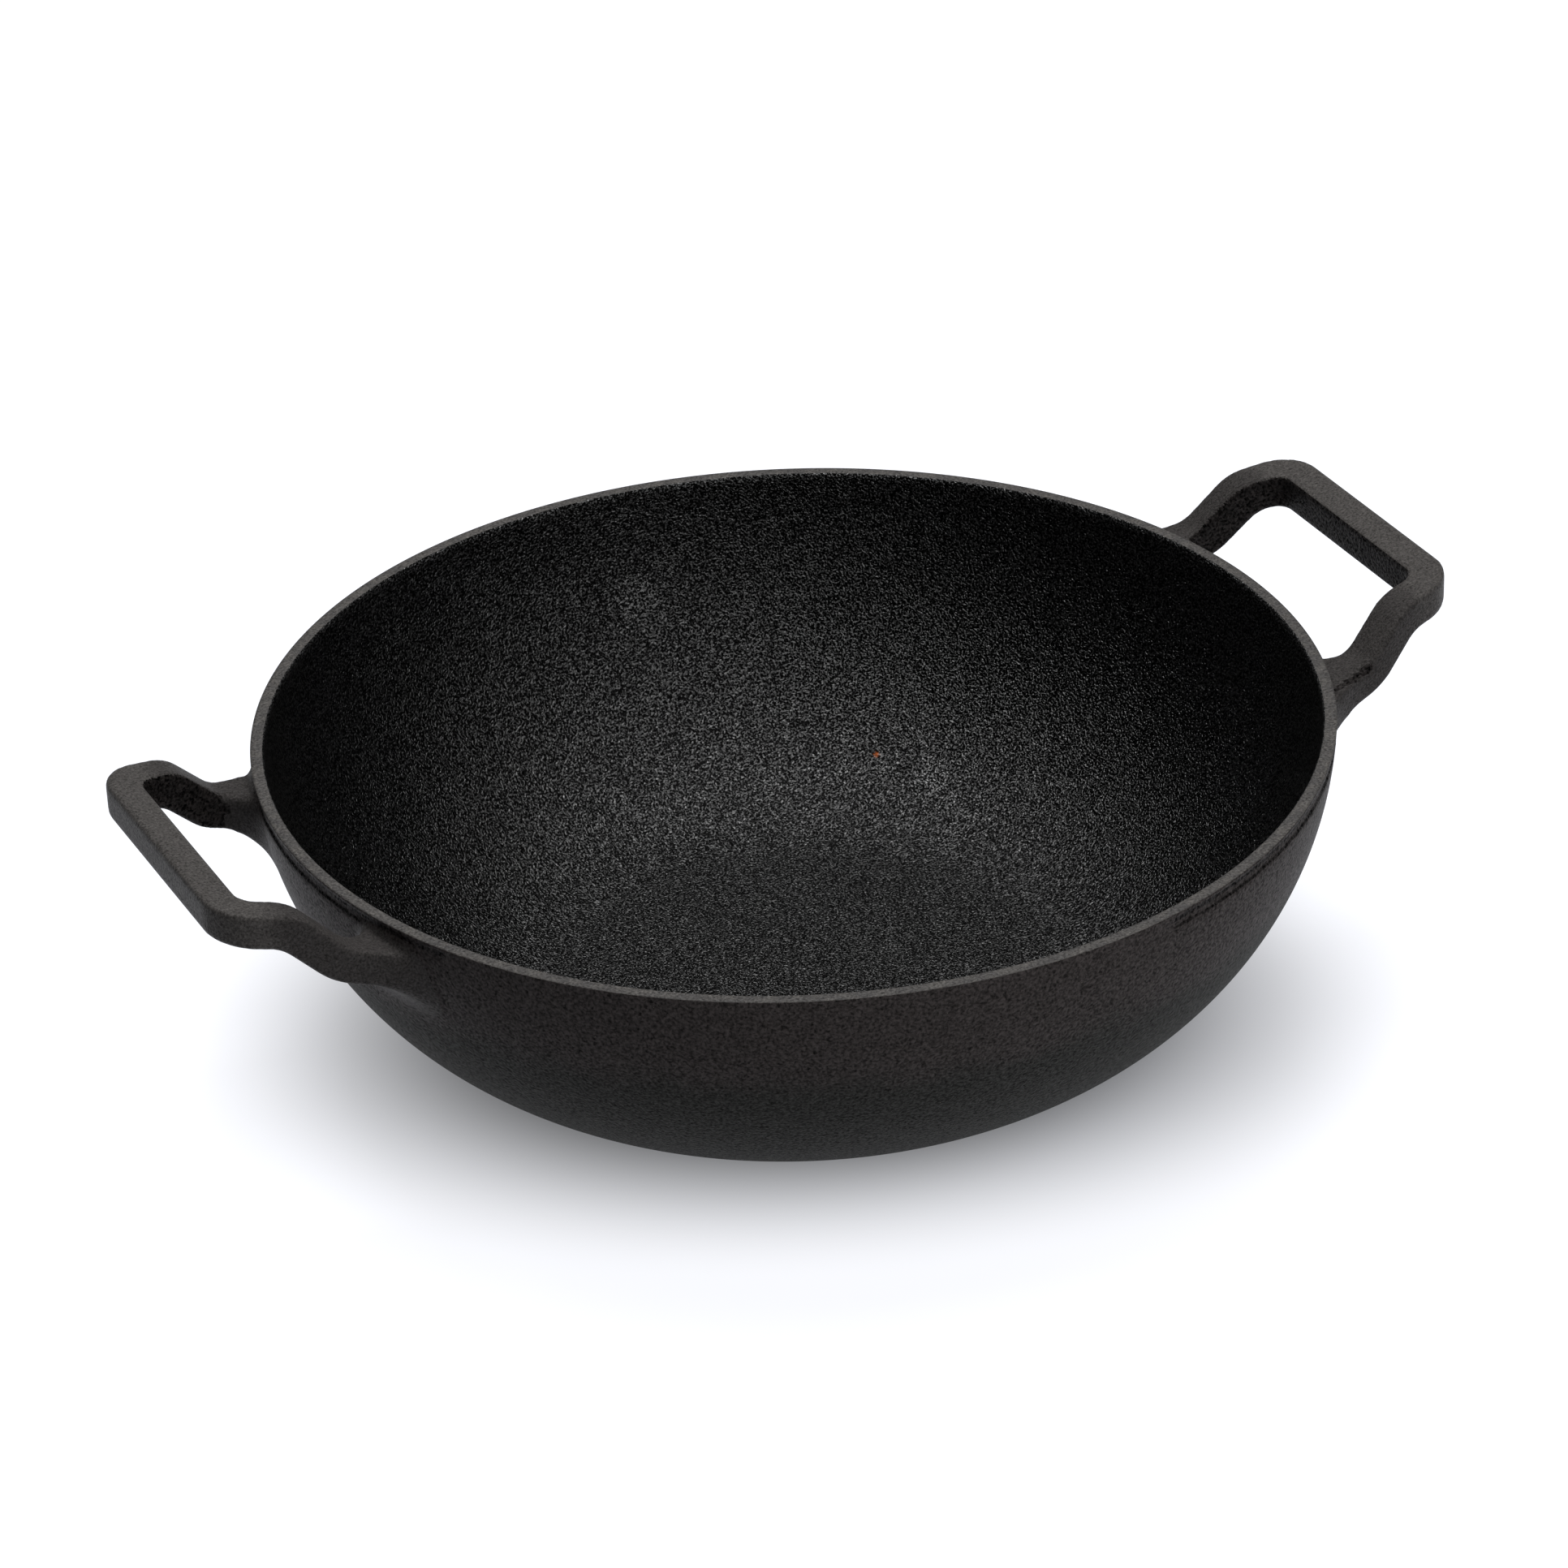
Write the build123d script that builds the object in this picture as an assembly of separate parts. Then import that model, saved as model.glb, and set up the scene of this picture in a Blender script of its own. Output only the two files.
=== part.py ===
from build123d import *
from math import asin, atan2, cos, degrees, radians, sin, sqrt, tan
import os

# Kadai: a round-bottomed cast iron bowl with two loop handles cast in one piece with it.
# Millimetres. The origin is the centre of the flat base, on the surface it stands on. +Z is up,
# and the handles lie on +X (right) and -X (left).

# Bowl
rim_radius = 140.0           # outside of the ground rim land
rim_height = 84.0            # rim land above the surface that the base stands on
base_radius = 62.0           # flat that the bowl stands on
wall = 3.5                   # thickness of the casting, and width of the rim land
rim_draft = 1.6              # degrees that the wall still opens by where it reaches the rim
knuckle_share = 0.2283       # part of the wall section's slanting tangent on the knuckle's side
rim_edge_radius = 0.4        # broken inner edge of the rim land

# Rim band: the shallow rebate that grinding and the mould joint leave under the rim land
lip_height = 0.9             # full-radius lip left under the land
band_height = 4.2            # rim land down to the step where the cast wall starts
band_depth = 0.7             # how far the band stands back from the lip
band_slope = 0.5             # height of each of its two sloping edges

# Handles: a flat ribbon, bent in an S when seen from the side and looped when seen from above
handle_reach = 35.6          # rim to the outer face of the grip bar
handle_thickness = 9.6       # ribbon thickness, square to its top face
bar_width = 9.1              # grip bar, seen from above
bar_rise = 13.4              # top outer edge of the grip bar above the rim land
bar_tilt = 10.3              # degrees that the bar's top face rises outwards
ramp_angle = 45.0            # degrees that the arms climb by
ramp_foot = 3.4              # rim to the bend at the foot of the ramp
root_tilt = 13.0             # degrees that the root's top face falls towards the wall
root_drop = 2.6              # bend at the foot of the ramp below the rim land
foot_radius = 10.0           # top face, bend at the foot of the ramp
knee_radius = 14.0           # top face, bend from the ramp into the bar
under_knee_radius = 9.0      # underside, the same bend
web_radius = 26.0            # hollow curve of the thickening that carries the root's underside
web_depth = 23.0             # rim land down to where that thickening ends on the wall
web_reach = 8.0              # how far it reaches out past the rim

# Handles, seen from above
grip_length = 66.6           # clear length inside the loop, at the grip bar
arm_width = 10.5             # each arm, measured along the bar
outer_splay = 11.5           # degrees that the arms' outer sides spread towards the wall
inner_splay = 14.5           # degrees that their inner sides spread
outer_corner_radius = 13.0
inner_corner_radius = 5.0
outer_flare_radius = 26.0    # side faces, where they swing out along the wall
inner_flare_radius = 8.0
flare_turn = 8.0             # degrees round the bowl that each flare has room for

# Handle edges
edge_radius = 1.1            # top edges and inner lower edge
palm_radius = 1.8            # lower outer edge, where the fingers and palm close round it

seat = 0.4                   # how far root surfaces run on inside what they grow out of
upright_share = 0.2          # a face is upright where its normal rises less than this
overrun = 6.0                # how far cutting and intersecting shapes run past what they shape


def section_point(centre, radius, angle):
    """Point of a section circle, with the angle in degrees from the horizontal."""
    return (centre[0] + radius * cos(radians(angle)), centre[1] + radius * sin(radians(angle)))


# The wall's section is two arcs that touch: the knuckle, tangent to the base, and the side arc,
# which has the rim draft where it ends in the rim's outer edge. Both arcs touch one slanting line
# where they meet, which runs from the base's tangent to the rim's. Each arc's two tangents are
# equally long, so that line is as long as the two outer tangents together.
overhang = rim_radius - base_radius
draft_cos = cos(radians(rim_draft))
draft_sin = sin(radians(rim_draft))
outward_share = knuckle_share + (1 - knuckle_share) * draft_sin
upward_share = (1 - knuckle_share) * draft_cos
spare_share = 1 - outward_share**2 - upward_share**2
half_sum = overhang * outward_share + rim_height * upward_share
slant = (sqrt(half_sum**2 + spare_share * (overhang**2 + rim_height**2)) - half_sum) / spare_share
knuckle_tangent = slant * knuckle_share
side_tangent = slant - knuckle_tangent
knuckle_turn = degrees(asin((rim_height - side_tangent * draft_cos) / slant))
side_turn = 90 - rim_draft - knuckle_turn
knuckle_radius = knuckle_tangent / tan(radians(knuckle_turn / 2))
side_radius = side_tangent / tan(radians(side_turn / 2))
knuckle_centre = (base_radius, knuckle_radius)
side_centre = (rim_radius - side_radius * draft_cos, rim_height + side_radius * draft_sin)
join_angle = knuckle_turn - 90


def side_angle(radius, height):
    """Angle at which the side arc of that radius passes a height, in degrees."""
    down = side_centre[1] - height
    return -degrees(atan2(down, sqrt(radius**2 - down**2)))


def outside_radius(height):
    """Outside radius of the wall at a height above the base."""
    return section_point(side_centre, side_radius, side_angle(side_radius, height))[0]


def wall_arcs(inset, end_angle):
    """Knuckle and side arc, moved into the metal by an inset and ending at a side angle."""
    knuckle = CenterArc(knuckle_centre, knuckle_radius - inset, -90, knuckle_turn)
    side = CenterArc(side_centre, side_radius - inset, join_angle, end_angle - join_angle)
    return [knuckle, side]


def outer_lines():
    """Outside of the bowl's section, from the axis along the base to the rim land's outer edge."""
    band_foot = rim_height - band_height
    foot_angle = side_angle(side_radius, band_foot)
    band_radius = rim_radius - band_depth
    band = Polyline(
        section_point(side_centre, side_radius, foot_angle),
        (band_radius, band_foot + band_slope),
        (band_radius, rim_height - lip_height - band_slope),
        (rim_radius, rim_height - lip_height),
        (rim_radius, rim_height),
    )
    return [Line((0, 0), (base_radius, 0))] + wall_arcs(0, foot_angle) + [band]


def inner_lines():
    """Inside of the section, at one wall thickness: floor, knuckle, side and rounded rim edge."""
    edge_reach = side_radius - wall + rim_edge_radius
    edge_angle = side_angle(edge_reach, rim_height - rim_edge_radius)
    edge_centre = section_point(side_centre, edge_reach, edge_angle)
    rounding = CenterArc(edge_centre, rim_edge_radius, 90, 90 + edge_angle)
    land = Line((edge_centre[0], rim_height), (rim_radius, rim_height))
    return [Line((0, wall), (base_radius, wall))] + wall_arcs(wall, edge_angle) + [rounding, land]


def revolved(lines):
    """Solid turned about the Z axis from the closed section that the lines make."""
    outline = Curve() + lines
    return revolve(Plane.XZ * make_face(outline), Axis.Z, 360)


def bowl_shape():
    return revolved(outer_lines() + inner_lines() + [Line((0, 0), (0, wall))])


def filled_bowl():
    """The bowl's outer shape without its hollow, which the handles are fitted against."""
    closing = Polyline((rim_radius, rim_height), (0, rim_height), (0, 0))
    return revolved(outer_lines() + [closing])


def crossing(point_a, angle_a, point_b, angle_b):
    """Where two lines of the side view cross, each given by a point and a slope in degrees."""
    slope_a = tan(radians(angle_a))
    slope_b = tan(radians(angle_b))
    x = (point_b[1] - point_a[1] + slope_a * point_a[0] - slope_b * point_b[0]) / (slope_a - slope_b)
    return (x, point_a[1] + slope_a * (x - point_a[0]))


def below(point, angle):
    """Point on the ribbon's underside, square below a point of its top face."""
    return (
        point[0] + handle_thickness * sin(radians(angle)),
        point[1] - handle_thickness * cos(radians(angle)),
    )


bar_outer = rim_radius + handle_reach
bar_inner = bar_outer - bar_width
loop_height = rim_height + bar_rise + overrun
web_foot_height = rim_height - web_depth
flare_circle = outside_radius(web_foot_height) - seat
core_inside = flare_circle - handle_reach


def side_lines():
    """Corners of the ribbon's top face and underside seen from the side: root, ramp and bar."""
    foot = (rim_radius + ramp_foot, rim_height - root_drop)
    tip = (bar_outer, rim_height + bar_rise)
    knee = crossing(foot, ramp_angle, tip, bar_tilt)
    root_end = (core_inside, foot[1] - (foot[0] - core_inside) * tan(radians(root_tilt)))

    under_tip = (bar_outer, tip[1] - handle_thickness / cos(radians(bar_tilt)))
    under_knee = crossing(below(foot, ramp_angle), ramp_angle, under_tip, bar_tilt)
    under_foot = crossing(below(foot, root_tilt), root_tilt, under_knee, ramp_angle)
    under_end = (core_inside, root_end[1] - handle_thickness / cos(radians(root_tilt)))
    return (root_end, foot, knee, tip), (under_tip, under_knee, under_foot, under_end)


def ribbon_shape():
    """The S-bent ribbon, as wide as the bowl."""
    top, under = side_lines()
    top_line = FilletPolyline(*top, radius=[foot_radius, knee_radius])
    under_bends = [under_knee_radius, foot_radius + handle_thickness]
    under_line = FilletPolyline(*under, radius=under_bends)
    ends = [Line(top[-1], under[0]), Line(under[-1], top[0])]
    profile = make_face(Curve() + [top_line, under_line] + ends)
    return extrude(Plane.XZ * profile, rim_radius, both=True)


def web_shape():
    """The ring-shaped thickening that carries the roots' undersides down the wall."""
    under_foot, under_end = side_lines()[1][2:]
    reach = rim_radius + web_reach
    along_arm = sqrt(reach**2 - (grip_length / 2 + arm_width) ** 2)
    root_slope = tan(radians(root_tilt))
    shelf = under_foot[1] - (under_foot[0] - along_arm) * root_slope + seat
    low = (flare_circle, web_foot_height)
    high = (reach, shelf)
    arc = RadiusArc(low, high, web_radius)
    closing = Polyline(high, (core_inside, shelf), (core_inside, web_foot_height), low)
    return revolved([arc, closing])


def meets_circle(start, splay):
    """Where an arm's side, splayed from a bar corner, reaches the circle that the flares end on."""
    along = (-cos(radians(splay)), sin(radians(splay)))
    back = start[0] * along[0] + start[1] * along[1]
    travel = -back - sqrt(back**2 - start[0]**2 - start[1]**2 + flare_circle**2)
    return (start[0] + travel * along[0], start[1] + travel * along[1])


def further_round(point, turn):
    """Point of the same circle, further round the bowl by an angle in degrees."""
    angle = atan2(point[1], point[0]) + radians(turn)
    return (flare_circle * cos(angle), flare_circle * sin(angle))


def looped(bar_x, half_width, splay, turn, bends):
    """Face seen from above: a bar edge, two splayed sides and their flares along the wall."""
    corner = (bar_x, half_width)
    at_wall = meets_circle(corner, splay)
    wall_end = further_round(at_wall, turn)
    half = FilletPolyline((bar_x, 0), corner, at_wall, wall_end, radius=bends)
    chord = Line(wall_end, (wall_end[0], -wall_end[1]))
    return make_face(Curve() + [half, mirror(half, Plane.XZ), chord])


def long_edges(handle, bowl, side):
    """Edges between the ribbon's top (side 1) or underside (side -1) and its upright sides."""
    upright = handle.faces().filter_by(lambda face: abs(face.normal_at().Z) < upright_share)
    flat = handle.faces().filter_by(lambda face: side * face.normal_at().Z > upright_share)
    shared = flat.edges() & upright.edges()
    return shared.filter_by(lambda edge: bowl.distance_to(Vertex(*(edge @ 0.5))) > seat)


def handle_shape():
    """One loop handle on the +X side, ending face to face on the bowl's outside."""
    gap_half = grip_length / 2
    bar_half = gap_half + arm_width - bar_width * tan(radians(inner_splay))
    outline_bends = [outer_corner_radius, outer_flare_radius]
    gap_bends = [inner_corner_radius, inner_flare_radius]
    outline = looped(bar_outer, bar_half, outer_splay, flare_turn, outline_bends)
    gap = looped(bar_inner, gap_half, inner_splay, -flare_turn, gap_bends)
    outline_block = extrude(outline, loop_height)
    gap_block = extrude(gap, loop_height)
    bowl = filled_bowl()

    def beside_gap(edge):
        return gap_block.distance_to(Vertex(*(edge @ 0.5))) < seat

    handle = (ribbon_shape() & outline_block) - gap_block - bowl
    palm_edges = long_edges(handle, bowl, -1).filter_by(lambda edge: not beside_gap(edge))
    handle = fillet(palm_edges, palm_radius)
    inner_edges = long_edges(handle, bowl, -1).filter_by(beside_gap)
    handle = fillet(inner_edges + long_edges(handle, bowl, 1), edge_radius)
    webs = (web_shape() & outline_block) - gap_block - bowl
    return handle + webs


os.makedirs("parts", exist_ok=True)
handle = handle_shape()
nodes = {
    "bowl": bowl_shape(),
    "handle_right": handle,
    "handle_left": handle.rotate(Axis.Z, 180),
}
for name, shape in nodes.items():
    export_step(shape, f"parts/{name}.step")
    print(name, round(shape.volume), len(shape.solids()), shape.bounding_box())
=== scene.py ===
import bmesh
import bpy
from math import asin, atan2, cos, degrees, pi, radians, sin, sqrt, tan
from mathutils import Matrix, Vector, noise
from mathutils.bvhtree import BVHTree


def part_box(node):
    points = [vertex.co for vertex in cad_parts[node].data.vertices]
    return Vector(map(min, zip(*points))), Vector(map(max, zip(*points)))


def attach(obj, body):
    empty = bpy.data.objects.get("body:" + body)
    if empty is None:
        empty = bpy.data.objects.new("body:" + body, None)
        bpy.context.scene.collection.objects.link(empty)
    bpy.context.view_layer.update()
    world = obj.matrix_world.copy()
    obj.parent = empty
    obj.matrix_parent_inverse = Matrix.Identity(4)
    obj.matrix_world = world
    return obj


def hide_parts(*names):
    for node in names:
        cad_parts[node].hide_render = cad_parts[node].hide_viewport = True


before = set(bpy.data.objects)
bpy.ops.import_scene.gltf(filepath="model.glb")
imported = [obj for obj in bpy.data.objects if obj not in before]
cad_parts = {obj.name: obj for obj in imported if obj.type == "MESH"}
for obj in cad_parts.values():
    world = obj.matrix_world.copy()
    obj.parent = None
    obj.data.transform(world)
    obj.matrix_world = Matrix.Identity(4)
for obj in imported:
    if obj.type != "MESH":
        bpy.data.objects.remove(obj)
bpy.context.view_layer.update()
mm = 0.001
up = Vector((0, 0, 1))
bowl_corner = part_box("bowl")[1]
rim_radius = bowl_corner.x
rim_height = bowl_corner.z


# Camera: a long lens that looks down into the bowl from the front left, level but for a slight
# roll. Its aim is given from the middle of the rim, in shares of the rim's radius.
view_azimuth = radians(25.52)
view_elevation = radians(29.948)
view_roll = radians(2.261)
view_distance_share = 10.885
aim_left_share = 0.016
aim_down_share = 0.1287
lens_share = 7272 / 1932     # focal length over the width of the picture

camera = bpy.data.cameras.new("photo_camera")
camera.lens = camera.sensor_width * lens_share
camera_object = bpy.data.objects.new("photo_camera", camera)
bpy.context.scene.collection.objects.link(camera_object)
turned = Matrix.Rotation(-view_azimuth, 4, "Z") @ Matrix.Rotation(pi / 2 - view_elevation, 4, "X")
turned = turned @ Matrix.Rotation(-view_roll, 4, "Z")
aim = Vector((-aim_left_share, -aim_down_share, view_distance_share)) * rim_radius
camera_object.matrix_world = Matrix.Translation((0, 0, rim_height)) @ turned @ Matrix.Translation(aim)
bpy.context.scene.camera = camera_object
bpy.context.scene.view_settings.view_transform = "Standard"


# Studio: a sheet of white acrylic under a broad soft box, overhead and a little behind, and a
# weaker one at the front right. The surround lights it most at the horizon, which is raised behind
# the bowl, and is white to the camera.
backdrop_rise = 0.3                   # how steeply the surround's horizon is raised behind the bowl
fade_starts = 0.02                    # sines of the heights between which the surround fades
fade_ends = 0.35
horizon_glow = 0.42
zenith_glow = 0.01
bowl_middle = (0, 0, 0.05)
sheet_radius = 6
# The sheet's glow, lowered round the bowl as a painted shadow, and where that shadow fades to full.
glow_in_painted_shadow = 0.07
glow = 0.92
painted_shadow_core = 50 * mm
painted_shadow_edge = 124 * mm
painted_shadow_middle = (-0.004, -0.01, 0.0)    # where the painted shadow's dark pool lies on the sheet
painted_shadow_widening = 1.39                  # how much wider than deep it is, as the camera sees it


def linear(hex_colour):
    """A colour written as sRGB hex, in the linear values that a shader takes."""
    channels = [int(hex_colour[i:i + 2], 16) / 255 for i in (0, 2, 4)]
    return [c / 12.92 if c <= 0.04045 else ((c + 0.055) / 1.055) ** 2.4 for c in channels] + [1]


def add_node(tree, kind, settings=None, **inputs):
    """Adds a shader node. Settings are its own properties. Inputs are values or other sockets, each
    under its socket's name, or under its number where several sockets share a name."""
    node = tree.nodes.new(kind)
    for name, value in (settings or {}).items():
        setattr(node, name, value)
    for name, value in inputs.items():
        key = int(name[1:]) if name[1:].isdigit() else name.replace("_", " ")
        if isinstance(value, bpy.types.NodeSocket):
            tree.links.new(value, node.inputs[key])
        else:
            node.inputs[key].default_value = value
    return node


def new_material(name):
    """An empty material and its node tree."""
    material = bpy.data.materials.new(name)
    material.use_nodes = True
    material.node_tree.nodes.clear()
    return material, material.node_tree


def area_light(name, place, target, size, radiance):
    """A square soft box of even radiance, aimed at a target."""
    light = bpy.data.lights.new(name, "AREA")
    light.shape = "SQUARE"
    light.size = size
    light.energy = radiance * pi * size**2
    lamp = bpy.data.objects.new(name, light)
    lamp.location = place
    lamp.rotation_euler = (Vector(target) - Vector(place)).to_track_quat("-Z", "Y").to_euler()
    bpy.context.scene.collection.objects.link(lamp)


world = bpy.data.worlds.new("studio")
bpy.context.scene.world = world
world.use_nodes = True
sky = world.node_tree
sky.nodes.clear()
direction = add_node(sky, "ShaderNodeTexCoord").outputs["Generated"]
away = (sin(view_azimuth), cos(view_azimuth), 0)
behind = add_node(sky, "ShaderNodeVectorMath", {"operation": "DOT_PRODUCT"}, _0=direction, _1=away)
behind = add_node(sky, "ShaderNodeMath", {"operation": "MAXIMUM"}, _0=behind.outputs["Value"], _1=0.0)
height = add_node(sky, "ShaderNodeSeparateXYZ", Vector=direction)
above = add_node(sky, "ShaderNodeMath", {"operation": "MULTIPLY_ADD"},
                 _0=behind.outputs[0], _1=-backdrop_rise, _2=height.outputs["Z"])
fade = add_node(sky, "ShaderNodeMapRange", {"interpolation_type": "SMOOTHSTEP"}, Value=above.outputs[0],
                From_Min=fade_starts, From_Max=fade_ends, To_Min=horizon_glow, To_Max=zenith_glow)
path = add_node(sky, "ShaderNodeLightPath")
strength = add_node(sky, "ShaderNodeMath", {"operation": "MAXIMUM"},
                    _0=path.outputs["Is Camera Ray"], _1=fade.outputs[0])
background = add_node(sky, "ShaderNodeBackground", Strength=strength.outputs[0])
add_node(sky, "ShaderNodeOutputWorld", Surface=background.outputs[0])

area_light("overhead_soft_box", place=(0.1, 0.35, 1.3), target=bowl_middle, size=0.85, radiance=7.0)
area_light("front_soft_box", place=(0.25, -1.0, 0.75), target=bowl_middle, size=1.0, radiance=2.6)

floor_mesh = bpy.data.meshes.new("acrylic_sheet")
floor_bmesh = bmesh.new()
bmesh.ops.create_circle(floor_bmesh, cap_ends=True, segments=96, radius=sheet_radius)
floor_bmesh.to_mesh(floor_mesh)
floor_bmesh.free()
floor = bpy.data.objects.new("acrylic_sheet", floor_mesh)
bpy.context.scene.collection.objects.link(floor)
# Satin white acrylic. To the camera and in reflections it glows to white, but less under the bowl,
# where the lower glow is a painted shadow.
floor_material, tree = new_material("white_acrylic_sheet")
place = add_node(tree, "ShaderNodeTexCoord").outputs["Object"]
painted_shadow_place = add_node(tree, "ShaderNodeMapping", {"vector_type": "TEXTURE"}, Vector=place,
                Location=painted_shadow_middle, Rotation=(0, 0, -view_azimuth), Scale=(painted_shadow_widening, 1, 1))
reach = add_node(tree, "ShaderNodeVectorMath", {"operation": "LENGTH"}, _0=painted_shadow_place.outputs[0])
glow_with_painted_shadow = add_node(tree, "ShaderNodeMapRange", {"interpolation_type": "SMOOTHSTEP"},
                  Value=reach.outputs["Value"], From_Min=painted_shadow_core, From_Max=painted_shadow_edge,
                  To_Min=glow_in_painted_shadow, To_Max=glow)
path = add_node(tree, "ShaderNodeLightPath")
seen = add_node(tree, "ShaderNodeMath", {"operation": "MAXIMUM"},
                _0=path.outputs["Is Camera Ray"], _1=path.outputs["Is Glossy Ray"])
strength = add_node(tree, "ShaderNodeMath", {"operation": "MULTIPLY"},
                    _0=seen.outputs[0], _1=glow_with_painted_shadow.outputs[0])
sheet = add_node(tree, "ShaderNodeBsdfPrincipled", Base_Color=linear("8c8e94"), Roughness=0.15,
                 Emission_Color=linear("fafbff"), Emission_Strength=strength.outputs[0])
add_node(tree, "ShaderNodeOutputMaterial", Surface=sheet.outputs[0])
floor_mesh.materials.append(floor_material)


# Bowl: sand-cast iron, its wall one thickness from the flat base to the rim, whose land is ground
# flat. The wall's section is two arcs that touch. Inside it keeps the pebbled skin of the mould's
# sand. Outside the skin is finer, and the upper part was dressed smooth by hand.
base_radius = 62 * mm
wall = 3.5 * mm
rim_draft = radians(1.6)
knuckle_share = 0.2283                    # part of the slanting tangent on the knuckle's side
lip_height = 0.9 * mm
band_height = 4.2 * mm
band_depth = 0.7 * mm
band_slope = 0.5 * mm
band_sectors = ((-33, 47), (182, 24))     # where it is open: middle and half width, in degrees
band_end_fade = 14                        # degrees over which an end closes
band_end_wander = 12                      # degrees by which it strays
band_end_pitch = 9 * mm
band_roughness = 0.12 * mm
band_roughness_pitch = 2.5 * mm
rim_edge_radius = 0.4 * mm
eighth_steps = 70                         # steps in an eighth of a turn
merge_distance = 0.01 * mm

# The slanting tangent where the two arcs meet, then their turns, radii and centres.
overhang = rim_radius - base_radius
outward = knuckle_share + (1 - knuckle_share) * sin(rim_draft)
upward = (1 - knuckle_share) * cos(rim_draft)
spare = 1 - outward**2 - upward**2
half_sum = overhang * outward + rim_height * upward
slant = (sqrt(half_sum**2 + spare * (overhang**2 + rim_height**2)) - half_sum) / spare
knuckle_turn = asin((rim_height - slant * upward) / slant)
side_turn = pi / 2 - rim_draft - knuckle_turn
knuckle_radius = slant * knuckle_share / tan(knuckle_turn / 2)
side_radius = slant * (1 - knuckle_share) / tan(side_turn / 2)
knuckle_centre = Vector((base_radius, 0, knuckle_radius))
side_centre = Vector((rim_radius - side_radius * cos(rim_draft), 0,
                      rim_height + side_radius * sin(rim_draft)))


def wall_radius(height, inset=0.0):
    """Radius of the wall's outside, or of its inside with an inset, at a height."""
    if height < knuckle_centre.z - (knuckle_radius - inset) * cos(knuckle_turn):
        return base_radius + sqrt((knuckle_radius - inset) ** 2 - (knuckle_centre.z - height) ** 2)
    return side_centre.x + sqrt((side_radius - inset) ** 2 - (side_centre.z - height) ** 2)


def side_arc_turn(height, inset=0.0):
    """How far the side arc has turned from the knuckle where it passes a height."""
    return pi / 2 - knuckle_turn - asin((side_centre.z - height) / (side_radius - inset))


def draw_arc(section, centre, turn, steps):
    """Carries the section's last vertex round a centre, in the XZ plane."""
    bmesh.ops.spin(section, geom=[section.verts[-1]], cent=centre, axis=(0, -1, 0), dvec=(0, 0, 0),
                   angle=turn, steps=steps, use_merge=False, use_duplicate=False)
    section.verts.ensure_lookup_table()


def draw_line(section, end, steps=1):
    """Carries the section's last vertex along a straight line."""
    start = section.verts[-1].co.copy()
    for step in range(1, steps + 1):
        grown = bmesh.ops.extrude_vert_indiv(section, verts=[section.verts[-1]])
        grown["verts"][0].co = start.lerp(Vector((end[0], 0, end[1])), step / steps)
        section.verts.ensure_lookup_table()


def draw_outside(section, from_height=0.0):
    """The outside of the section, from the base, or from a height on the side arc, to the land."""
    band_foot = rim_height - band_height
    band_radius = rim_radius - band_depth
    if from_height:
        section.verts.new((wall_radius(from_height), 0, from_height))
        section.verts.ensure_lookup_table()
        turn = side_arc_turn(band_foot) - side_arc_turn(from_height)
        draw_arc(section, side_centre, turn, steps=30)
    else:
        draw_line(section, (base_radius, 0), steps=14)
        draw_arc(section, knuckle_centre, knuckle_turn, steps=14)
        draw_arc(section, side_centre, side_arc_turn(band_foot), steps=50)
    draw_line(section, (band_radius, band_foot + band_slope), steps=2)
    draw_line(section, (band_radius, rim_height - lip_height - band_slope), steps=4)
    draw_line(section, (rim_radius, rim_height - lip_height), steps=2)
    draw_line(section, (rim_radius, rim_height), steps=2)


def doubled(shape, angle):
    """Adds a copy of the shape, turned by an angle."""
    copied = bmesh.ops.duplicate(shape, geom=shape.verts[:] + shape.edges[:] + shape.faces[:])
    copied_verts = [part for part in copied["geom"] if isinstance(part, bmesh.types.BMVert)]
    bmesh.ops.rotate(shape, verts=copied_verts, cent=(0, 0, 0), matrix=Matrix.Rotation(angle, 3, "Z"))


def band_openness(point):
    """How much of its depth the band keeps round the rim, from 0 to 1, with ragged ends."""
    turn = degrees(atan2(point.y, point.x))
    ragged = band_end_wander * noise.noise(point / band_end_pitch)
    openness = 0.0
    for middle, half_width in band_sectors:
        away = abs((turn - middle + 180) % 360 - 180)
        openness = max(openness, min(1.0, max(0.0, (half_width - away + ragged) / band_end_fade)))
    return openness


def close_band(shape):
    """Fills the band up to the wall's own curve where it has faded out, and roughens the rest."""
    for vert in shape.verts:
        reach = vert.co.xy.length
        height = vert.co.z
        in_band = rim_height - band_height < height < rim_height - lip_height / 2
        if in_band and reach > rim_radius - wall / 2:
            opened = band_openness(vert.co)
            ragged = band_roughness * noise.noise(vert.co / band_roughness_pitch)
            filled = wall_radius(height) * (1 - opened) + (reach + ragged) * opened
            vert.co.xy *= filled / reach


def closed(shape, name):
    """Turns a bmesh into a smooth object with its doubles merged and its faces outwards."""
    bmesh.ops.remove_doubles(shape, verts=shape.verts, dist=merge_distance)
    bmesh.ops.recalc_face_normals(shape, faces=shape.faces)
    for face in shape.faces:
        face.smooth = True
    mesh = bpy.data.meshes.new(name)
    shape.to_mesh(mesh)
    shape.free()
    made = bpy.data.objects.new(name, mesh)
    bpy.context.scene.collection.objects.link(made)
    return made


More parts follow.
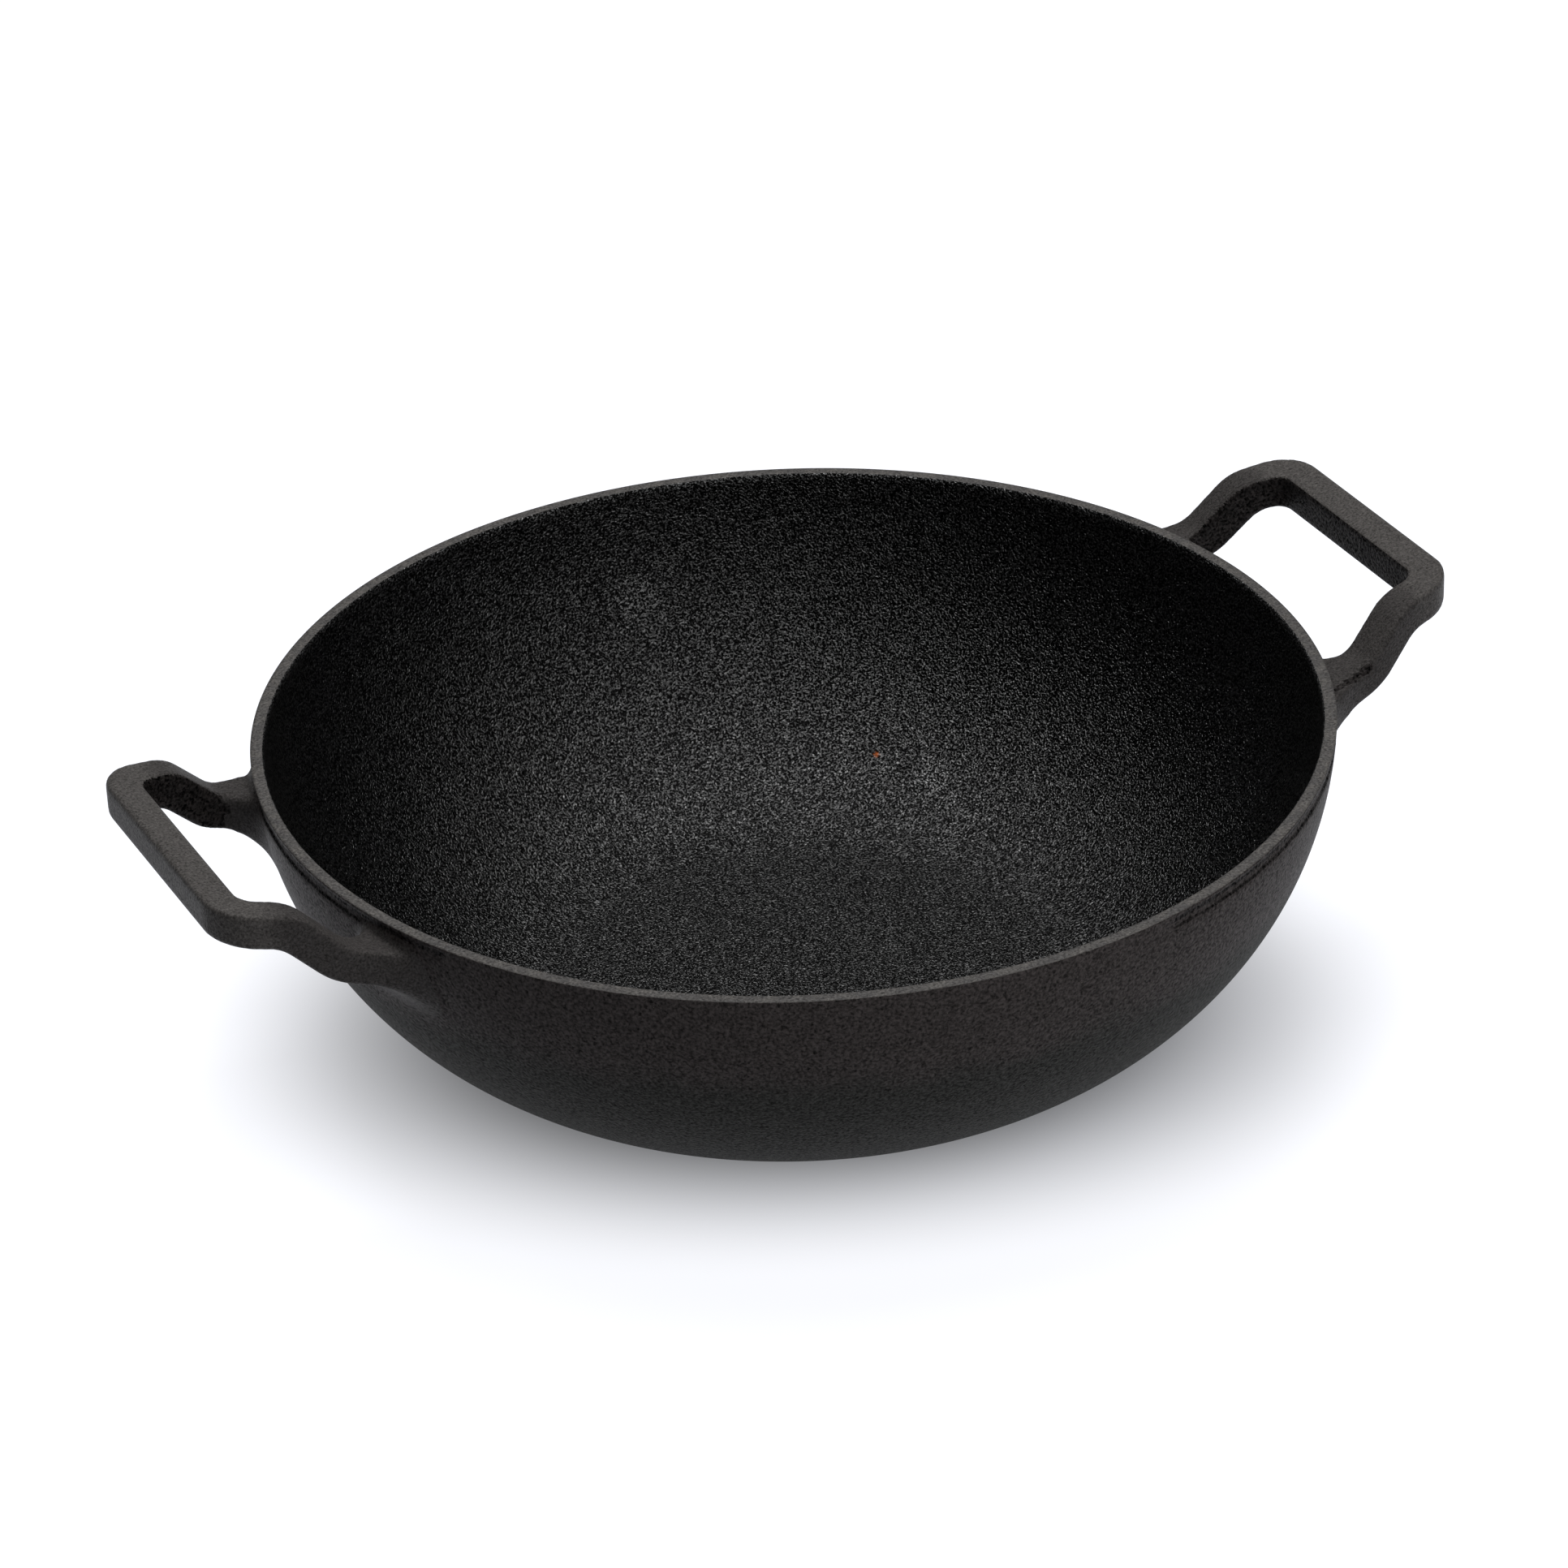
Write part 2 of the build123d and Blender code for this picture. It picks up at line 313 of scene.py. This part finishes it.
# The section is drawn up the outside, across the land and down the inside. An eighth of a turn is
# spun from it and doubled three times.
section = bmesh.new()
section.verts.new((0, 0, 0))
section.verts.ensure_lookup_table()
draw_outside(section)
inner_edge = wall_radius(rim_height, wall) + rim_edge_radius
draw_line(section, (inner_edge, rim_height), steps=4)
draw_line(section, (inner_edge - rim_edge_radius, rim_height - rim_edge_radius), steps=2)
draw_arc(section, side_centre, -side_arc_turn(rim_height - rim_edge_radius, wall), steps=50)
draw_arc(section, knuckle_centre, -knuckle_turn, steps=12)
draw_line(section, (0, wall), steps=12)
bmesh.ops.spin(section, geom=section.verts[:] + section.edges[:], cent=(0, 0, 0), axis=up,
               dvec=(0, 0, 0), angle=pi / 4, steps=eighth_steps, use_merge=False, use_duplicate=False)
for angle in (pi / 4, pi / 2, pi):
    doubled(section, angle)
close_band(section)
bowl = closed(section, "kadai_bowl")


# Where iron is worn or stained. Each of these gives a function that adds the nodes for it.
def blotches(size, low=0.4, high=0.62):
    """Ragged patches of one size all over."""
    def share(tree, place):
        patches = add_node(tree, "ShaderNodeTexNoise", Vector=place, Scale=1 / size, Detail=3.0)
        return add_node(tree, "ShaderNodeMapRange", Value=patches.outputs["Fac"],
                        From_Min=low, From_Max=high).outputs[0]
    return share


def beyond(axis, start, full, ragged):
    """All of the surface past a distance along an axis, both ways, with a ragged border."""
    def share(tree, place):
        along = add_node(tree, "ShaderNodeSeparateXYZ", Vector=place).outputs[axis]
        along = add_node(tree, "ShaderNodeMath", {"operation": "ABSOLUTE"}, _0=along)
        patches = add_node(tree, "ShaderNodeTexNoise", Vector=place, Scale=1 / ragged, Detail=4.0)
        moved = add_node(tree, "ShaderNodeMath", {"operation": "MULTIPLY_ADD"},
                         _0=patches.outputs["Fac"], _1=ragged, _2=along.outputs[0])
        border = add_node(tree, "ShaderNodeMapRange", {"interpolation_type": "SMOOTHSTEP"},
                          Value=moved.outputs[0], From_Min=start + ragged / 2,
                          From_Max=full + ragged / 2)
        return border.outputs[0]
    return share


def spots(*centres):
    """Ragged spots, each given by its middle and its radius in millimetres, that fade outwards."""
    def share(tree, place):
        total = 0.0
        for x, y, z, millimetres in centres:
            radius = millimetres * mm
            core = 0.2 * radius
            ragged = 2 * radius
            away = add_node(tree, "ShaderNodeVectorMath", {"operation": "DISTANCE"},
                            _0=place, _1=Vector((x, y, z)) * mm)
            patches = add_node(tree, "ShaderNodeTexNoise", Vector=place, Scale=2.5 / radius, Detail=3.0)
            moved = add_node(tree, "ShaderNodeMath", {"operation": "MULTIPLY_ADD"},
                             _0=patches.outputs["Fac"], _1=ragged, _2=away.outputs["Value"])
            spot = add_node(tree, "ShaderNodeMapRange", {"interpolation_type": "SMOOTHSTEP"},
                            Value=moved.outputs[0], From_Min=radius + ragged / 2,
                            From_Max=core + ragged / 2)
            total = add_node(tree, "ShaderNodeMath", {"operation": "MAXIMUM"},
                             _0=total, _1=spot.outputs[0]).outputs[0]
        return total
    return share


def cast_iron(name, pit_shade, skin, worn, roughness, specular, pitch, height, octaves, pit_level,
              crest_level, worn_at, stain_or_painted_glint_at=None, stain_or_painted_glint="000000"):
    """Cast iron under a baked skin of oil, with the colours of the pits in its grain, of its skin and
    of the skin where it is worn. The levels are those of the grain at which pits end and crests
    start. The pits' darker colour is painted shade, and the lighter crests are painted glints.
    Pits lie in shade, so they also shine less. Worn places are smoother and glossier."""
    pit_shine = 0.05
    worn_relief = 0.6
    worn_roughness = 0.92
    material, tree = new_material(name)
    place = add_node(tree, "ShaderNodeTexCoord").outputs["Object"]
    grain = add_node(tree, "ShaderNodeTexNoise", Vector=place, Scale=1 / pitch, Detail=octaves,
                     Distortion=0.4).outputs["Fac"]
    crest = add_node(tree, "ShaderNodeMapRange", Value=grain, From_Min=pit_level,
                     From_Max=crest_level).outputs[0]
    wear = worn_at(tree, place)
    tone = add_node(tree, "ShaderNodeMix", {"data_type": "RGBA"}, _0=wear,
                    _6=linear(skin), _7=linear(worn))
    # Pits take the darker colour as painted shade, and crests keep the skin's lighter one as painted
    # glints.
    tone = add_node(tree, "ShaderNodeMix", {"data_type": "RGBA"}, _0=crest,
                    _6=linear(pit_shade), _7=tone.outputs[2])
    # Over the tone go marks: rust on the inside, and on the outside pale specks that are painted glints.
    if stain_or_painted_glint_at:
        tone = add_node(tree, "ShaderNodeMix", {"data_type": "RGBA"}, _0=stain_or_painted_glint_at(tree, place),
                        _6=tone.outputs[2], _7=linear(stain_or_painted_glint))
    smooth = add_node(tree, "ShaderNodeMapRange", Value=wear, To_Min=1.0, To_Max=worn_relief)
    relief = add_node(tree, "ShaderNodeBump", Strength=smooth.outputs[0], Distance=height, Height=grain)
    gloss = add_node(tree, "ShaderNodeMapRange", Value=wear, To_Min=roughness,
                     To_Max=roughness * worn_roughness)
    shine = add_node(tree, "ShaderNodeMapRange", Value=crest, To_Min=specular * pit_shine, To_Max=specular)
    iron = add_node(tree, "ShaderNodeBsdfPrincipled", Base_Color=tone.outputs[2],
                    Normal=relief.outputs[0], Roughness=gloss.outputs[0],
                    Specular_IOR_Level=shine.outputs[0])
    add_node(tree, "ShaderNodeOutputMaterial", Surface=iron.outputs[0])
    return material


# Inside, pebbles of the mould's sand under a black skin of baked oil: each one glints. Two places
# are a little paler, glossier and less pebbled, and one speck has rusted.
inside = cast_iron(
    "seasoned_iron_pebbled_inside", pit_shade="000000", skin="020202", worn="040404", roughness=0.31,
    specular=1.1, pitch=0.6 * mm, height=0.6 * mm, octaves=1.0, pit_level=0.46, crest_level=0.61,
    worn_at=spots((16, 129, 53, 12), (72, 62, 13, 7)),
    stain_or_painted_glint_at=spots((62.5, 77.3, 15.8, 1.1)), stain_or_painted_glint="9a5026")
# Outside, a finer grain than inside, drawn coarser than it is so that it shows, with a few light
# specks, which are painted glints. The upper wall was dressed smooth and looks browner.
outside = cast_iron(
    "seasoned_iron_fine_outside", pit_shade="0e0e0d", skin="3a3a38", worn="4a4544", roughness=0.5,
    specular=0.05, pitch=0.8 * mm, height=0.5 * mm, octaves=3.0, pit_level=0.25, crest_level=0.7,
    worn_at=beyond(axis=2, start=50 * mm, full=62 * mm, ragged=16 * mm),
    stain_or_painted_glint_at=blotches(0.5 * mm, low=0.74, high=0.8), stain_or_painted_glint="8c867c")
# The land, ground flat and then seasoned: smoother, greyer and finely pitted.
land = cast_iron(
    "ground_iron_rim_land", pit_shade="1e1d1d", skin="5a5857", worn="676461", roughness=0.5,
    specular=0.15, pitch=0.7 * mm, height=0.3 * mm, octaves=3.0, pit_level=0.2, crest_level=0.7,
    worn_at=blotches(4 * mm))
# Raw from the mould, so coarse and dark: the insides of the handles' loops. The same dark iron is
# painted shade on the band's edges and along the stout arm's crease.
raw_and_painted_shade = cast_iron(
    "raw_iron_and_painted_shade", pit_shade="030303", skin="242120", worn="302c2b", roughness=0.5,
    specular=0.1, pitch=0.8 * mm, height=0.8 * mm, octaves=3.0, pit_level=0.35, crest_level=0.65,
    worn_at=blotches(3 * mm))
lip_shade = 1.2 * mm         # how far the painted shade under the lip reaches down from its step
open_enough = 0.3            # openness of the band from which its edges take painted shade
height_slack = 0.02 * mm


def at_band_edge(height):
    """Whether a height lies in the band's lower step, or in the shade under the lip: both get painted
    shade.
    """
    lower = rim_height - band_height
    upper = rim_height - lip_height
    return lower < height < lower + band_slope or upper - band_slope - lip_shade < height < upper


bowl_irons = (outside, inside, land, raw_and_painted_shade)
for iron in bowl_irons:
    bowl.data.materials.append(iron)
for face in bowl.data.polygons:
    middle = face.center
    outer = middle.z < wall - height_slack or middle.xy.length > wall_radius(middle.z, wall / 2)
    if middle.z > rim_height - height_slack:
        face.material_index = bowl_irons.index(land)
    elif not outer:
        face.material_index = bowl_irons.index(inside)
    # The band's lower step and the strip under the lip get the dark iron as painted shade.
    elif at_band_edge(middle.z) and band_openness(middle) > open_enough:
        face.material_index = bowl_irons.index(raw_and_painted_shade)
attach(bowl, "root")
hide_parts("bowl")


# Handles: two loops cast in one with the bowl, all round at their edges, whose roots run into the
# wall in soft hollows. Their bars were dressed smooth, and the insides of the loops left raw. The
# right one's near arm came out stouter than the other three, with a crease along its root, whose
# dark colour is painted shade.
flare = 3 * mm               # by how much a root widens where it meets the wall
gap_flare = 6 * mm           # the same on its side towards the finger gap
stout_flare = 6 * mm         # the same on the stout arm
flare_reach = 12 * mm
stoutness = 1.5 * mm         # by how much the stout arm is thicker on each side
stout_reach = 30 * mm
voxel = 0.6 * mm
cad_merge_distance = 0.002 * mm
patch_depth = 2.4 * mm       # of the piece of wall that a root is blended into
patch_foot = rim_height - 34 * mm
patch_half_turn = radians(32)
root_top = rim_height - 8 * mm
fillet_reach = 6.5 * mm
top_fillet_reach = 1.3 * mm
fillet_passes = 12
reach_steps = 14             # each pass reaches less far by one of these
smooths_per_pass = 9
last_smooths = 2
margin_starts = 2 * mm       # off the handle, where the patch's margin starts to sink
margin_width = 3 * mm
margin_height = 1 * mm
margin_sink = 0.25 * mm
crease_start = Vector((rim_radius - 7.6 * mm, -51 * mm, rim_height - 5.4 * mm))
crease_end = Vector((rim_radius + 4 * mm, -48.4 * mm, rim_height - 3.4 * mm))
crease_wander = 0.6 * mm
crease_wander_pitch = 4 * mm
crease_reach = 2 * mm
crease_depth = 1 * mm


def outside_wall(point):
    """How far a point lies outside the wall's outer surface, and the way out of it."""
    reach = point.xy.length
    outward = Vector((reach - side_centre.x, point.z - side_centre.z))
    level = outward.normalized()
    way = Vector((point.x / reach * level.x, point.y / reach * level.x, level.y))
    return outward.length - side_radius, way


def wall_patch(side):
    """A piece of the wall's outer skin under a handle's root, for the root to be blended into."""
    patch = bmesh.new()
    draw_outside(patch, patch_foot)
    lip_face = patch.verts[-2:]
    bmesh.ops.delete(patch, geom=lip_face, context="VERTS")
    patch.verts.ensure_lookup_table()
    top = patch.verts[-1].co.z
    draw_line(patch, (wall_radius(top, patch_depth), top))
    turn = side_arc_turn(top, patch_depth) - side_arc_turn(patch_foot, patch_depth)
    draw_arc(patch, side_centre, -turn, steps=20)
    patch.edges.new((patch.verts[-1], patch.verts[0]))
    patch.faces.new(patch.verts)
    bmesh.ops.rotate(patch, verts=patch.verts, cent=(0, 0, 0),
                     matrix=Matrix.Rotation(side - patch_half_turn, 3, "Z"))
    bmesh.ops.spin(patch, geom=patch.faces[:], cent=(0, 0, 0), axis=up, dvec=(0, 0, 0),
                   angle=2 * patch_half_turn, steps=96, use_merge=False, use_duplicate=False)
    close_band(patch)
    bmesh.ops.recalc_face_normals(patch, faces=patch.faces)
    return patch


def flared(shape):
    """Widens a handle's root towards the wall, all round but for its top, and thickens the stout
    arm."""
    shape.normal_update()
    moves = {}
    for vert in shape.verts:
        off_wall, way = outside_wall(vert.co)
        stout_arm = vert.co.x > 0 and vert.co.y < 0
        in_gap = vert.normal.y * vert.co.y < 0
        share = min(1.0, max(0.0, 1 - off_wall / flare_reach))
        wide = gap_flare if in_gap else stout_flare if stout_arm else flare
        along_wall = vert.normal - way * vert.normal.dot(way)
        moves[vert] = along_wall * (wide * share**2 * (1 - max(0.0, vert.normal.z)))
        if stout_arm:
            share = min(1.0, max(0.0, (stout_reach - off_wall) / flare_reach))
            moves[vert].y += stoutness * share * vert.normal.y
    for vert, move in moves.items():
        vert.co += move


def remeshed(*shapes):
    """One even mesh round several closed ones."""
    joined = bmesh.new()
    for shape in shapes:
        mesh = bpy.data.meshes.new("part")
        shape.to_mesh(mesh)
        shape.free()
        joined.from_mesh(mesh)
    rough = bpy.data.meshes.new("rough")
    joined.to_mesh(rough)
    joined.free()
    blank = bpy.data.objects.new("blank", rough)
    bpy.context.scene.collection.objects.link(blank)
    remesh = blank.modifiers.new("voxels", "REMESH")
    remesh.mode = "VOXEL"
    remesh.voxel_size = voxel
    solid = bpy.data.meshes.new_from_object(blank.evaluated_get(bpy.context.evaluated_depsgraph_get()))
    bpy.data.objects.remove(blank)
    even = bmesh.new()
    even.from_mesh(solid)
    return even


def smoothed(shape, verts, times):
    """Evens out some of a shape's vertices, several times over."""
    for _ in range(times):
        bmesh.ops.smooth_vert(shape, verts=verts, factor=0.5,
                              use_axis_x=True, use_axis_y=True, use_axis_z=True)


def blended(shape, handle_tree):
    """Smooths the hollow between root and wall, in passes that each reach less far, and sinks the
    margin of the wall's patch into the bowl."""
    start = {}
    share = {}
    for vert in shape.verts:
        off_wall = outside_wall(vert.co)[0]
        _, normal, _, off_handle = handle_tree.find_nearest(vert.co)
        start[vert] = (off_wall, off_handle)
        on_top = max(0.0, normal.z) if vert.co.z > root_top else 0.0
        reach = fillet_reach + (top_fillet_reach - fillet_reach) * on_top
        share[vert] = max(abs(off_wall), off_handle) / reach
    for step in range(fillet_passes):
        near = [vert for vert in shape.verts if share[vert] < 1 - step / reach_steps]
        smoothed(shape, near, smooths_per_pass)
    smoothed(shape, shape.verts, last_smooths)
    for vert in shape.verts:
        off_wall, off_handle = start[vert]
        if abs(off_wall) < margin_height and off_handle > margin_starts:
            way = outside_wall(vert.co)[1]
            sink = min(1.0, (off_handle - margin_starts) / margin_width)
            vert.co -= way * (margin_sink * sink**2)


def off_crease(point):
    """Distance from the ragged crease between the top and the side of the stout arm's root."""
    ragged = point + up * (crease_wander * noise.noise(point / crease_wander_pitch))
    along = crease_end - crease_start
    share = min(1.0, max(0.0, (ragged - crease_start).dot(along) / along.length_squared))
    return (ragged - crease_start - along * share).length


def creased(shape):
    """Sinks the crease into the surface."""
    shape.normal_update()
    for vert in shape.verts:
        depth = crease_depth * (1 - off_crease(vert.co) / crease_reach)
        if depth > 0:
            vert.co -= vert.normal * depth


def handle_piece(node_name, side):
    """The CAD handle, flared and blended into a piece of the wall."""
    copy = bmesh.new()
    copy.from_mesh(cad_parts[node_name].data)
    bmesh.ops.remove_doubles(copy, verts=copy.verts, dist=cad_merge_distance)
    loop = remeshed(copy)
    flared(loop)
    handle_tree = BVHTree.FromBMesh(loop)
    shape = remeshed(loop, wall_patch(side))
    blended(shape, handle_tree)
    creased(shape)
    return shape


# Rough on the arms, and smoother and lighter on the bars, which were dressed.
handle_iron = cast_iron(
    "seasoned_iron_dressed_handle", pit_shade="1f1e1d", skin="454241", worn="585553", roughness=0.5,
    specular=0.1, pitch=0.6 * mm, height=0.4 * mm, octaves=3.0, pit_level=0.2, crest_level=0.7,
    worn_at=beyond(axis=0, start=158 * mm, full=165 * mm, ragged=8 * mm))
handle_irons = (handle_iron, raw_and_painted_shade, outside)
raw_half_length = 40 * mm
raw_starts = 3 * mm
raw_wander = 5 * mm
raw_wander_pitch = 3 * mm
painted_crease_shade_half_width = 1 * mm
wall_skin = 0.3 * mm         # faces less far off the wall have its finish
facing = 0.5                 # least part of a normal along the way that a face looks
upright = 0.6                # most part of a normal along Z on an upright face


def in_loop(face, outwards):
    """Whether a face looks into the loop, past a ragged border near its roots."""
    to_bowl = face.normal.x * outwards < -facing and abs(face.center.y) < raw_half_length
    to_middle = abs(face.normal.y) > facing and face.normal.y * face.center.y < 0
    border = rim_radius + raw_starts + raw_wander * noise.noise(face.center / raw_wander_pitch)
    past_border = face.center.x * outwards > border
    return (to_bowl or to_middle) and abs(face.normal.z) < upright and past_border


handles = (("handle_left", "kadai_handle_left", pi), ("handle_right", "kadai_handle_right", 0.0))
for node_name, piece_name, side in handles:
    piece = closed(handle_piece(node_name, side), piece_name)
    for iron in handle_irons:
        piece.data.materials.append(iron)
    for face in piece.data.polygons:
        # Faces in the loop get the raw iron, and those along the crease get it as painted shade.
        if in_loop(face, cos(side)) or off_crease(face.center) < painted_crease_shade_half_width:
            face.material_index = handle_irons.index(raw_and_painted_shade)
        elif outside_wall(face.center)[0] < wall_skin:
            face.material_index = handle_irons.index(outside)
    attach(piece, "root")
    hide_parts(node_name)
